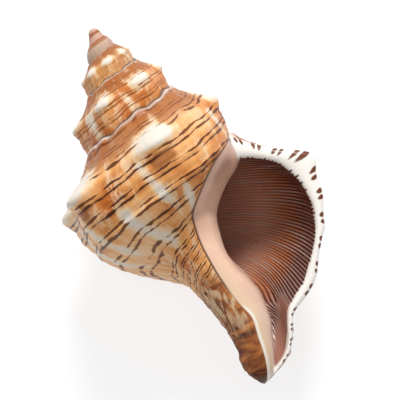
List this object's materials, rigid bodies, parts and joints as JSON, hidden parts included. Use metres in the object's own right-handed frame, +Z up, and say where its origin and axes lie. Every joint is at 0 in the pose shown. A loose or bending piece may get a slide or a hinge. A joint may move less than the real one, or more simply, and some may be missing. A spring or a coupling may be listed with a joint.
{
  "type": "fox shell",
  "caption": "Knobbed spiral sea shell with a tall spire, a wide open mouth and a siphonal canal, lying on its back as a display piece.",
  "frame": {"origin": "centre of the bottom of the bounding box, on the surface the shell lies on", "axes": "+Z up, out of the mouth; +Y along the shell towards the apex; +X towards the outer lip"},
  "size_m": [0.0834, 0.1302, 0.0688],
  "materials": {
    "shell": "glossy natural shell, tan and cream with dark brown spiral lines"
  },
  "bodies": {
    "root": {"shell": "shell"}
  },
  "joints": []
}
